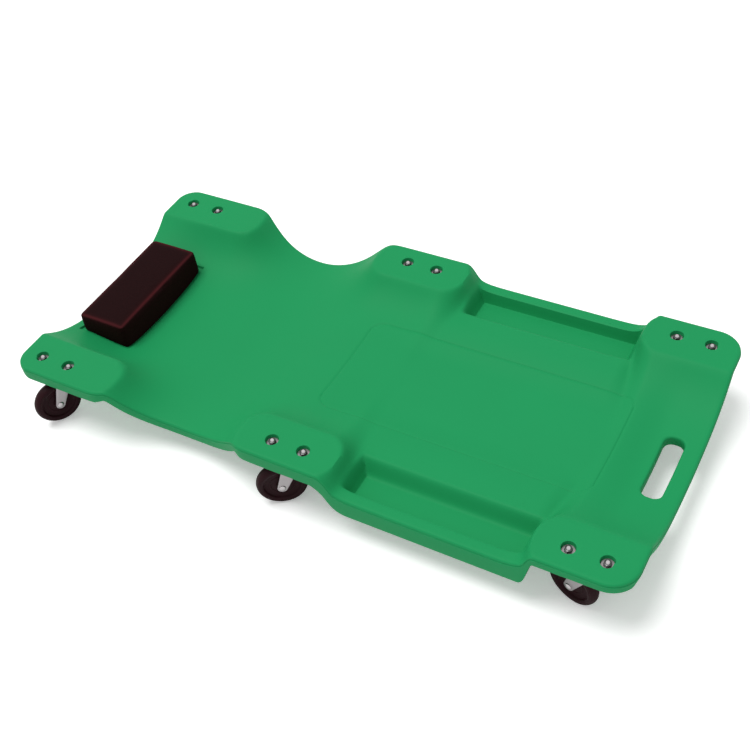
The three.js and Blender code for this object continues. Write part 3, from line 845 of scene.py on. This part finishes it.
# the deck's grid lines: start, end and spacing, closer together where its surface bends
LINES_ALONG = (
    (-INNER_L, -0.484, 0.003),
    (-0.484, -0.398, 0.004),
    (-0.398, -0.330, 0.007),
    (-0.330, -0.285, 0.003),
    (-0.285, -0.130, 0.007),
    (-0.130, -0.080, 0.003),
    (-0.080, -0.043, 0.004),
    (-0.043, -0.014, 0.0015),
    (-0.014, 0.060, 0.0042),
    (0.060, 0.098, 0.0025),
    (0.098, 0.340, 0.008),
    (0.340, 0.366, 0.0022),
    (0.366, 0.397, 0.0015),
    (0.397, 0.484, 0.004),
    (0.484, INNER_L, 0.003),
)
LINES_ACROSS = (
    (0, 0.0445, 0.0075),
    (0.0445, 0.0655, 0.003),
    (0.0655, 0.073, 0.0035),
    (0.073, 0.0985, 0.0015),
    (0.0985, 0.150, 0.005),
    (0.150, 0.180, 0.0025),
    (0.180, 0.192, 0.004),
    (0.192, 0.222, 0.0027),
    (0.222, INNER_W, 0.0022),
)
SEAT_LINES = [SEAT_MARGIN + SEAT_RUN * share for share in (-0.3, 0, 0.5, 1, 1.3)]


def deck_lines():
    """Places of the deck's grid lines, along it and across it."""
    bolt_xs = {round(x, 6) for x, _ in BOLTS.values()}
    bolt_y = abs(next(iter(BOLTS.values()))[1])
    fixed_x = [x + side * RECESS_REACH for x in bolt_xs for side in (-1, 1)]
    fixed_x += [-INNER_L, INNER_L, SLOT_X - SLOT_OUT_X, SLOT_X + SLOT_OUT_X]
    fixed_x += [_cushion_low.x - line for line in SEAT_LINES]
    fixed_x += [_cushion_high.x + line for line in SEAT_LINES]
    fixed_y = [0, SLOT_OUT_Y, bolt_y - RECESS_REACH, bolt_y + RECESS_REACH, INNER_W]
    fixed_y += [_cushion_high.y + line for line in SEAT_LINES]
    half = evenly(LINES_ACROSS, fixed_y)
    return evenly(LINES_ALONG, fixed_x), sorted({-y for y in half} | set(half))


def bend_plan(x, y):
    """Moves a grid point so that corners, cut-ins, recesses and slot come out round."""
    for bolt_x, bolt_y in BOLTS.values():
        dx, dy = squared(x - bolt_x, y - bolt_y, RECESS_REACH, RECESS_BLEND)
        x, y = bolt_x + dx, bolt_y + dy
    sx, sy = math.copysign(1, x - SLOT_X), math.copysign(1, y)
    hub_x, hub_y = SLOT_HALF_X - SLOT_CORNER, SLOT_HALF_Y - SLOT_CORNER
    px, py = abs(x - SLOT_X) - hub_x, abs(y) - hub_y
    if px > 0 and py > 0:
        px, py = squared(px, py, SLOT_CORNER + SLOT_EDGE, SLOT_BLEND)
        x, y = SLOT_X + sx * (hub_x + px), sy * (hub_y + py)
    corner = (HEAD_CORNER if x < 0 else FOOT_CORNER) - EDGE
    hub_x, hub_y = INNER_L - corner, INNER_W - corner
    px, py = abs(x) - hub_x, abs(y) - hub_y
    if px > 0 and py > 0:
        px, py = squared(px, py, corner, corner)
        x, y = math.copysign(hub_x + px, x), math.copysign(hub_y + py, y)
    if abs(y) > WAIST_INNER_Y:
        share = (abs(y) - WAIST_INNER_Y) / (INNER_W - WAIST_INNER_Y)
        y = math.copysign(mix(WAIST_INNER_Y, half_width(x), share), y)
    return x, y


class CREEPER_OT_deck(bpy.types.Operator):
    """Makes the moulded deck with its pads, dish, trays, groove, recesses and carrying slot"""

    bl_idname = "creeper.deck"
    bl_label = "Deck"

    def execute(self, context):
        settings = context.scene.creeper_deck
        bm = grid_on(*deck_lines())
        in_slot = []
        mark = bm.faces.layers.int.new("recess")
        for face in bm.faces:
            c = face.calc_center_median()
            if abs(c.x - SLOT_X) < SLOT_OUT_X and abs(c.y) < SLOT_OUT_Y:
                in_slot.append(face)
            for x, y in BOLTS.values():
                if abs(c.x - x) < RECESS_REACH and abs(c.y - y) < RECESS_REACH:
                    face[mark] = 1
        bmesh.ops.delete(bm, geom=in_slot, context="FACES")
        for vert in bm.verts:
            x, y = bend_plan(vert.co.x, vert.co.y)
            vert.co = Vector((x, y, top_at(x, y) - groove_at(x, y, settings.groove)))

        under = add_underside(bm, under_at)
        in_recess = [face for face in bm.faces if face[mark] and face.verts[0] not in under]
        bmesh.ops.delete(bm, geom=in_recess, context="FACES")

        caps = []
        for loop in border_loops(bm):
            first = loop[0].verts[0]
            if first in under:
                continue
            xs = [vert.co.x for edge in loop for vert in edge.verts]
            if max(xs) - min(xs) > HALF_L:
                continue_border(bm, loop, under_at, DECK_EDGE)
            elif abs(first.co.y) < SLOT_HALF_Y + 2 * SLOT_EDGE:
                continue_border(bm, loop, under_at, SLOT_PROFILE)
            else:
                caps.append(continue_border(bm, loop, under_at, RECESS_PROFILE))
        for edges in caps:
            bmesh.ops.contextual_create(bm, geom=edges)
        close_border(bm)
        finish_piece("deck_moulding", bm, finish_of("green_plastic"), "root", ["deck"])
        return {"FINISHED"}


# ---- headrest ----

CUSHION_EDGE = 0.0036
CUSHION_PROFILE = (
    (0.0012, 1, -0.0001),
    (0.0022, 1, -0.0006),
    (0.0027, 1, -0.0014),
    (0.0029, 1, -0.0024),
    (0.0027, 1, -0.0032),
    (0.0030, 1, -0.0042),
    (0.0033, 1, -0.0090),
    (0.0035, 1, -0.0150),
    (0.0036, 0, 0.0100),
    (0.0035, 0, 0.0030),
    (0.0029, 0, 0.0009),
    (0.0015, 0, 0.0002),
    (0.0, 0, 0.0),
)
CUSHION_GAP = 0.0006
CUSHION_SPACING = 0.0045
HELD_HEIGHT = 0.003
CLOTH_FRAMES = 18
# how far the painted highlight reaches in from the cushion's top edge
CUSHION_HIGHLIGHT_RUN = 0.0030
SWELL_CAP = 0.0014


def cushion_foot(x, y):
    """Height of the cushion's lower side, just clear of the deck."""
    return top_at(x, y) + CUSHION_GAP


def swell(piece, pinned_below):
    """Lets the cover fill out under light pressure, with its lower edge held."""
    rest = [vert.co.copy() for vert in piece.data.vertices]
    group = piece.vertex_groups.new(name="held")
    group.add([i for i, co in enumerate(rest) if co.z < pinned_below(co)], 1, "REPLACE")
    cloth = piece.modifiers.new("cloth", "CLOTH")
    cloth.settings.quality = 6
    cloth.settings.mass = 0.2
    cloth.settings.tension_stiffness = 30
    cloth.settings.compression_stiffness = 30
    cloth.settings.bending_stiffness = 6
    cloth.settings.use_pressure = True
    cloth.settings.uniform_pressure_force = 3
    cloth.settings.effector_weights.gravity = 0
    cloth.settings.vertex_group_mass = "held"
    scene = bpy.context.scene
    for step in range(1, CLOTH_FRAMES + 1):
        scene.frame_set(step)
    shape = piece.evaluated_get(bpy.context.evaluated_depsgraph_get())
    swollen = [vert.co.copy() for vert in shape.data.vertices]
    piece.modifiers.remove(cloth)
    piece.vertex_groups.remove(group)
    for vert, start, end in zip(piece.data.vertices, rest, swollen):
        move = end - start
        if move.length > SWELL_CAP:
            move = move.normalized() * SWELL_CAP
        vert.co = start + move
    scene.frame_set(1)


class CREEPER_OT_headrest(bpy.types.Operator):
    """Makes the padded headrest and finishes its board and screws"""

    bl_idname = "creeper.headrest"
    bl_label = "Headrest"

    def execute(self, context):
        settings = context.scene.creeper_headrest
        low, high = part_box("headrest_cushion")
        middle = (low + high) / 2
        top = high.z - SWELL_CAP
        inset = CUSHION_EDGE + SWELL_CAP / 2
        half_x, half_y = (high.x - low.x) / 2 - inset, (high.y - low.y) / 2 - inset
        xs = evenly([(middle.x - half_x, middle.x + half_x, CUSHION_SPACING)], [])
        ys = evenly([(-half_y, half_y, CUSHION_SPACING)], [])
        bm = grid_on(xs, ys)
        for vert in bm.verts:
            px = (vert.co.x - middle.x) / half_x
            py = vert.co.y / half_y
            vert.co.z = top - settings.crown * (px * px + py * py) / 2
        loop = border_loops(bm)[0]
        add_underside(bm, cushion_foot)
        continue_border(bm, loop, cushion_foot, CUSHION_PROFILE)
        close_border(bm)
        # painted highlight: strongest on the top's outer edge and fading inwards and downwards, where light
        # catches the rounded cover
        mark = bm.verts.layers.float.new(EDGE_MARK)
        for vert in bm.verts:
            past = min(half_x - abs(vert.co.x - middle.x), half_y - abs(vert.co.y))
            drop = top - vert.co.z
            vert[mark] = math.exp(-((past / CUSHION_HIGHLIGHT_RUN) ** 2) - (drop / CUSHION_HIGHLIGHT_RUN) ** 2)
        cushion = finish_piece(
            "headrest_pad", bm, finish_of("vinyl"), "root", ["headrest_cushion"], sharp=75
        )
        swell(cushion, lambda co: cushion_foot(co.x, co.y) + HELD_HEIGHT)
        smooth = cushion.modifiers.new("smooth", "SUBSURF")
        smooth.levels = 1
        smooth.render_levels = 1

        finishes = {
            "headrest_board": "hardboard",
            "headrest_screw_right": "bright_zinc",
            "headrest_screw_left": "bright_zinc",
        }
        for node, finish in finishes.items():
            slots = frame["nodes"][node].data.materials
            slots.clear()
            slots.append(finish_of(finish))
        return {"FINISHED"}


# ---- casters ----

EYE_R = 0.0074
FORK_BACK = 0.013
FORK_FRONT = 0.014
ARM_Y = 0.01125
BEND_R = 0.005
BEND_STEPS = 6
CROWN_LOW = CROWN_TOP - CROWN_THICK
CROWN_MID = CROWN_TOP - CROWN_THICK / 2
BEND_Z = CROWN_MID - BEND_R
TIP_TURNS = (0, 12, 25, 40, 58, 78, 100, 118)  # degrees round the eye, from its lowest point
STRIP_SPACES = 8
AXLE_R = 0.004
AXLE_REACH = 0.0128
RIVET_R = 0.0052
RIVET_RISE = 0.0022
PIN_R = 0.0040
PIN_HEAD_R = 0.0070
PLATE_HALF_X = 0.037
PLATE_HALF_Y = 0.022
PLATE_CORNER = 0.008
PLATE_THICK = 0.0025
CORNER_STEPS = 6
PLATE_LOW = PLATE_TOP - PLATE_THICK
CUP_LOW = PLATE_LOW - PLATE_THICK
BALLS = 12
BALL_R = 0.0021
BALL_RING_R = 0.0115
BALL_Z = CROWN_TOP + 0.0015

# turned profiles: radius and height, or distance from the wheel's middle
CUP_PROFILE = (
    (0.0043, PLATE_LOW + 0.0006),
    (0.0043, CUP_LOW + 0.0004),
    (0.0085, CUP_LOW),
    (0.0100, CUP_LOW + 0.0009),
    (0.0130, CUP_LOW + 0.0009),
    (0.0145, CUP_LOW),
    (0.0160, CUP_LOW + 0.0002),
    (0.0168, CUP_LOW + 0.0010),
    (0.0170, PLATE_LOW + 0.0006),
)
CROWN_PROFILE = (
    (0.0043, CROWN_LOW - 0.0002),
    (0.0178, CROWN_LOW + 0.0003),
    (0.0182, CROWN_LOW + 0.0010),
    (0.0180, CROWN_TOP - 0.0004),
    (0.0172, CROWN_TOP + 0.0003),
    (0.0145, CROWN_TOP + 0.0003),
    (0.0130, CROWN_TOP - 0.0006),
    (0.0100, CROWN_TOP - 0.0006),
    (0.0085, CROWN_TOP + 0.0003),
    (0.0043, CROWN_TOP + 0.0003),
)
AXLE_PROFILE = ((0, -AXLE_REACH), (AXLE_R, -AXLE_REACH), (AXLE_R, AXLE_REACH), (0, AXLE_REACH))
WHEEL_SIDE = (
    (0.0043, 0.0095),
    (0.0083, 0.0095),
    (0.0091, 0.0088),
    (0.0098, 0.0054),
    (0.0114, 0.0046),
    (0.0166, 0.0046),
    (0.0170, 0.0052),
    (0.0180, 0.0052),
    (0.0184, 0.0046),
    (0.0244, 0.0046),
    (0.0262, 0.0053),
    (0.0274, 0.0078),
    (0.0284, 0.0086),
    (0.0312, 0.0088),
    (0.0318, 0.0083),
    (0.0324, 0.0083),
    (0.0330, 0.0086),
    (0.0350, 0.0078),
    (0.0364, 0.0059),
    (0.0375, 0.0036),
    (0.0380, 0.0015),
    (0.0381, 0.0),
)


def put(place):
    """Matrix from a caster's own axes to its place under the deck."""
    x, y, yaw, _ = PLACES[place]
    return Matrix.Translation((x, y, 0)) @ Matrix.Rotation(yaw, 4, "Z")


def on_axle():
    """Matrix that lays a shape turned about Z along the axle."""
    return Matrix.Translation((TRAIL, 0, WHEEL_R)) @ Matrix.Rotation(math.pi / 2, 4, "X")


def arm_span(z):
    """Where the fork's arm starts and ends along X at a height."""
    spans = []
    for side, corner in ((-1, -FORK_BACK), (1, FORK_FRONT)):
        reach = math.hypot(TRAIL - corner, BEND_Z - WHEEL_R)
        turn = math.acos(EYE_R / reach)
        angle = math.atan2(BEND_Z - WHEEL_R, corner - TRAIL) - side * turn
        touch = Vector((TRAIL + EYE_R * math.cos(angle), WHEEL_R + EYE_R * math.sin(angle)))
        if z >= BEND_Z:
            x = corner
        elif z > touch.y:
            x = mix(touch.x, corner, (z - touch.y) / (BEND_Z - touch.y))
        else:
            x = TRAIL + side * math.sqrt(max(0.0, EYE_R**2 - (z - WHEEL_R) ** 2))
        spans.append(x)
    return spans


def fork_path():
    """Points of the bent strip across the fork, from one arm's tip over the crown to the other's."""
    tip = [WHEEL_R - EYE_R * math.cos(math.radians(turn)) for turn in TIP_TURNS]
    rise = [mix(tip[-1], BEND_Z, i / BEND_STEPS) for i in range(1, BEND_STEPS + 1)]
    side = [(-ARM_Y, z) for z in tip + rise]
    for i in range(1, BEND_STEPS + 1):
        angle = math.pi - i * math.pi / (2 * BEND_STEPS)
        side.append((-ARM_Y + BEND_R + BEND_R * math.cos(angle), BEND_Z + BEND_R * math.sin(angle)))
    side.append((-BEND_R / 3, CROWN_MID))
    return side + [(-y, z) for y, z in reversed(side)]


def fork_strip():
    """The fork's bent sheet, with its thickness and softened edges."""
    path = fork_path()
    bm = bmesh.new()
    bmesh.ops.create_grid(bm, x_segments=len(path) - 1, y_segments=STRIP_SPACES, size=1)
    for vert in bm.verts:
        i = round((vert.co.x + 1) / 2 * (len(path) - 1))
        share = (vert.co.y + 1) / 2
        y, z = path[i]
        start, end = arm_span(z)
        vert.co = Vector((mix(start, end, share), y, z))
    bmesh.ops.remove_doubles(bm, verts=bm.verts, dist=TINY)
    bmesh.ops.recalc_face_normals(bm, faces=bm.faces)
    for vert in bm.verts:
        vert.co += vert.normal * CROWN_THICK / 2
    bmesh.ops.solidify(bm, geom=bm.faces[:], thickness=CROWN_THICK)
    bmesh.ops.recalc_face_normals(bm, faces=bm.faces)
    soften(bm, 0.0005, 2, 50)
    return bm


def dome(radius, height, base, steps):
    """A rounded rivet head."""
    turns = [math.radians(a) for a in (90, 65, 42, 20)]
    arc = [(radius * math.cos(turn), base + height * math.sin(turn)) for turn in turns]
    return turned([(0, arc[0][1]), *arc[1:], (radius, base + 0.0002), (radius, base), (0, base)], steps)


def plate_outline():
    """Points round the mounting plate, with its corners rounded."""
    points = []
    for sx, sy, start in ((1, -1, -90), (1, 1, 0), (-1, 1, 90), (-1, -1, 180)):
        for i in range(CORNER_STEPS + 1):
            angle = math.radians(start + i * 90 / CORNER_STEPS)
            x = sx * (PLATE_HALF_X - PLATE_CORNER) + PLATE_CORNER * math.cos(angle)
            y = sy * (PLATE_HALF_Y - PLATE_CORNER) + PLATE_CORNER * math.sin(angle)
            points.append((x, y))
    return points


def kingpin(low, high, steps):
    """The swivel's rivet between two heights, with a head at each end."""
    tail, head = low + 0.0026, high - 0.0019
    profile = (
        (0, low),
        (0.0030, low),
        (0.0052, low + 0.0005),
        (0.0066, low + 0.0015),
        (PIN_HEAD_R, tail),
        (PIN_R, tail),
        (PIN_R, head),
        (PIN_HEAD_R, head),
        (PIN_HEAD_R, high - 0.0004),
        (0.0065, high),
        (0, high),
    )
    return turned(profile, steps)


def ball_ring(here):
    """The swivel's balls, each with the matrix that places it."""
    balls = []
    for i in range(BALLS):
        ball = bmesh.new()
        bmesh.ops.create_icosphere(ball, subdivisions=2, radius=BALL_R)
        angle = i * 2 * math.pi / BALLS
        spot = (BALL_RING_R * math.cos(angle), BALL_RING_R * math.sin(angle), BALL_Z)
        balls.append((ball, here @ Matrix.Translation(spot)))
    return balls


class CREEPER_OT_caster_plates(bpy.types.Operator):
    """Makes the mounting plates with their race cups, the kingpins and the swivel balls"""

    bl_idname = "creeper.caster_plates"
    bl_label = "Caster plates"

    def execute(self, context):
        steps = context.scene.creeper_caster.steps
        for place, (x, y, _, _) in PLACES.items():
            here = Matrix.Translation((x, y, 0))
            plate = prism(plate_outline(), PLATE_LOW, PLATE_TOP)
            soften(plate, 0.0006)
            cup = turned(CUP_PROFILE, steps, closed=True)
            parts = [(plate, here), (cup, here)]
            fit_piece("mounting_plate", place, parts, "zinc_plate", "root", "caster_plate")
            low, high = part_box(f"kingpin_{place}")
            parts = [(kingpin(low.z, high.z, steps // 2), here)]
            fit_piece("swivel_rivet", place, parts, "bright_zinc", "root", "kingpin")
            fit_piece("swivel_balls", place, ball_ring(here), "bright_zinc", "root")
        return {"FINISHED"}


class CREEPER_OT_forks(bpy.types.Operator):
    """Makes the bent forks with their crowns, and the axle rivets"""

    bl_idname = "creeper.forks"
    bl_label = "Forks and axles"

    def execute(self, context):
        steps = context.scene.creeper_caster.steps
        for place in PLACES:
            body = f"swivel_{place}"
            crown = turned(CROWN_PROFILE, steps, closed=True)
            parts = [(fork_strip(), put(place)), (crown, put(place))]
            fit_piece("bent_fork", place, parts, "zinc_plate", body, "fork", sharp=50)
            here = put(place) @ on_axle()
            parts = [(turned(AXLE_PROFILE, steps // 2), here)]
            for flip in (0, math.pi):
                head = dome(RIVET_R, RIVET_RISE, AXLE_REACH, steps // 2)
                parts.append((head, here @ Matrix.Rotation(flip, 4, "X")))
            fit_piece("axle_rivet", place, parts, "bright_zinc", body, "axle")
        return {"FINISHED"}


class CREEPER_OT_wheels(bpy.types.Operator):
    """Makes the dished wheels"""

    bl_idname = "creeper.wheels"
    bl_label = "Wheels"

    def execute(self, context):
        steps = context.scene.creeper_caster.steps
        other = [(r, -h) for r, h in reversed(WHEEL_SIDE[:-1])]
        for place in PLACES:
            wheel = turned([*WHEEL_SIDE, *other], steps, closed=True)
            parts = [(wheel, put(place) @ on_axle())]
            fit_piece("rolling_wheel", place, parts, "wheel_plastic", f"roller_{place}", "wheel")
        return {"FINISHED"}


# ---- fasteners ----

BOLT_STEPS = 28
BOLT_R = 0.0030
BOLT_HEAD = 0.004
THREAD_ROOT_R = 0.0026
THREAD_PITCH = 0.001
HEX_ACROSS = 0.010
NUT_RISE = 0.0036
WASHER_TOP = NUT_SEAT + 0.0014
WASHER_PROFILE = (
    (0.0033, NUT_SEAT),
    (0.0089, NUT_SEAT),
    (0.0092, NUT_SEAT + 0.0003),
    (0.0092, WASHER_TOP - 0.0004),
    (0.0088, WASHER_TOP),
    (0.0033, WASHER_TOP),
)


def bolt_shank(low, high):
    """The bolt's shank between two heights, with its thread where it stands out of the nut."""
    thread = []
    z = high - 0.0036
    while z < high - 0.0009:
        thread += [(BOLT_R, z), (THREAD_ROOT_R, z + THREAD_PITCH / 2)]
        z += THREAD_PITCH
    foot = low + 0.003
    tip = ((0.0029, high - 0.0007), (0.0023, high), (0, high))
    return turned([(0, foot), (BOLT_R, foot), *thread, *tip], BOLT_STEPS)


class CREEPER_OT_fasteners(bpy.types.Operator):
    """Makes the bolts, nuts and washers of the six casters"""

    bl_idname = "creeper.fasteners"
    bl_label = "Fasteners"

    def execute(self, context):
        for place, (x, y) in BOLTS.items():
            here = Matrix.Translation((x, y, 0))
            low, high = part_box(f"bolt_{place}")
            head = hexagon(HEX_ACROSS, low.z, low.z + BOLT_HEAD)
            soften(head, 0.0004)
            parts = [(head, here), (bolt_shank(low.z, high.z), here)]
            fit_piece("hex_bolt", place, parts, "bright_zinc", "root", "bolt")
            # the nut and washer take the darker zinc, with the recess's shade painted in
            nut = hexagon(HEX_ACROSS, WASHER_TOP, WASHER_TOP + NUT_RISE)
            soften(nut, 0.0006)
            fit_piece("hex_nut", place, [(nut, here)], "nut_zinc_painted_shade", "root", "flange_nut")
            washer = turned(WASHER_PROFILE, BOLT_STEPS, closed=True)
            fit_piece("washer", place, [(washer, here)], "washer_zinc", "root")
        return {"FINISHED"}


# ---- panel and registration ----

OPERATORS = (
    CREEPER_OT_stage,
    CREEPER_OT_deck,
    CREEPER_OT_headrest,
    CREEPER_OT_caster_plates,
    CREEPER_OT_forks,
    CREEPER_OT_wheels,
    CREEPER_OT_fasteners,
)


class CREEPER_PT_pieces(bpy.types.Panel):
    """Lists the creeper's pieces"""

    bl_label = "Creeper"
    bl_space_type = "VIEW_3D"
    bl_region_type = "UI"
    bl_category = "Creeper"

    def draw(self, context):
        for operator in OPERATORS:
            self.layout.operator(operator.bl_idname)


SETTINGS = {
    "creeper_deck": CreeperDeckSettings,
    "creeper_headrest": CreeperHeadrestSettings,
    "creeper_caster": CreeperCasterSettings,
    "creeper_stage": CreeperStageSettings,
}


def register():
    for kind in (*SETTINGS.values(), *OPERATORS, CREEPER_PT_pieces):
        bpy.utils.register_class(kind)
    for name, kind in SETTINGS.items():
        setattr(bpy.types.Scene, name, PointerProperty(type=kind))


def unregister():
    for name in SETTINGS:
        delattr(bpy.types.Scene, name)
    for kind in reversed((*SETTINGS.values(), *OPERATORS, CREEPER_PT_pieces)):
        bpy.utils.unregister_class(kind)


def main():
    register()
    bpy.ops.creeper.stage()
    bpy.ops.creeper.deck()
    bpy.ops.creeper.headrest()
    bpy.ops.creeper.caster_plates()
    bpy.ops.creeper.forks()
    bpy.ops.creeper.wheels()
    bpy.ops.creeper.fasteners()


if __name__ == "__main__":
    main()
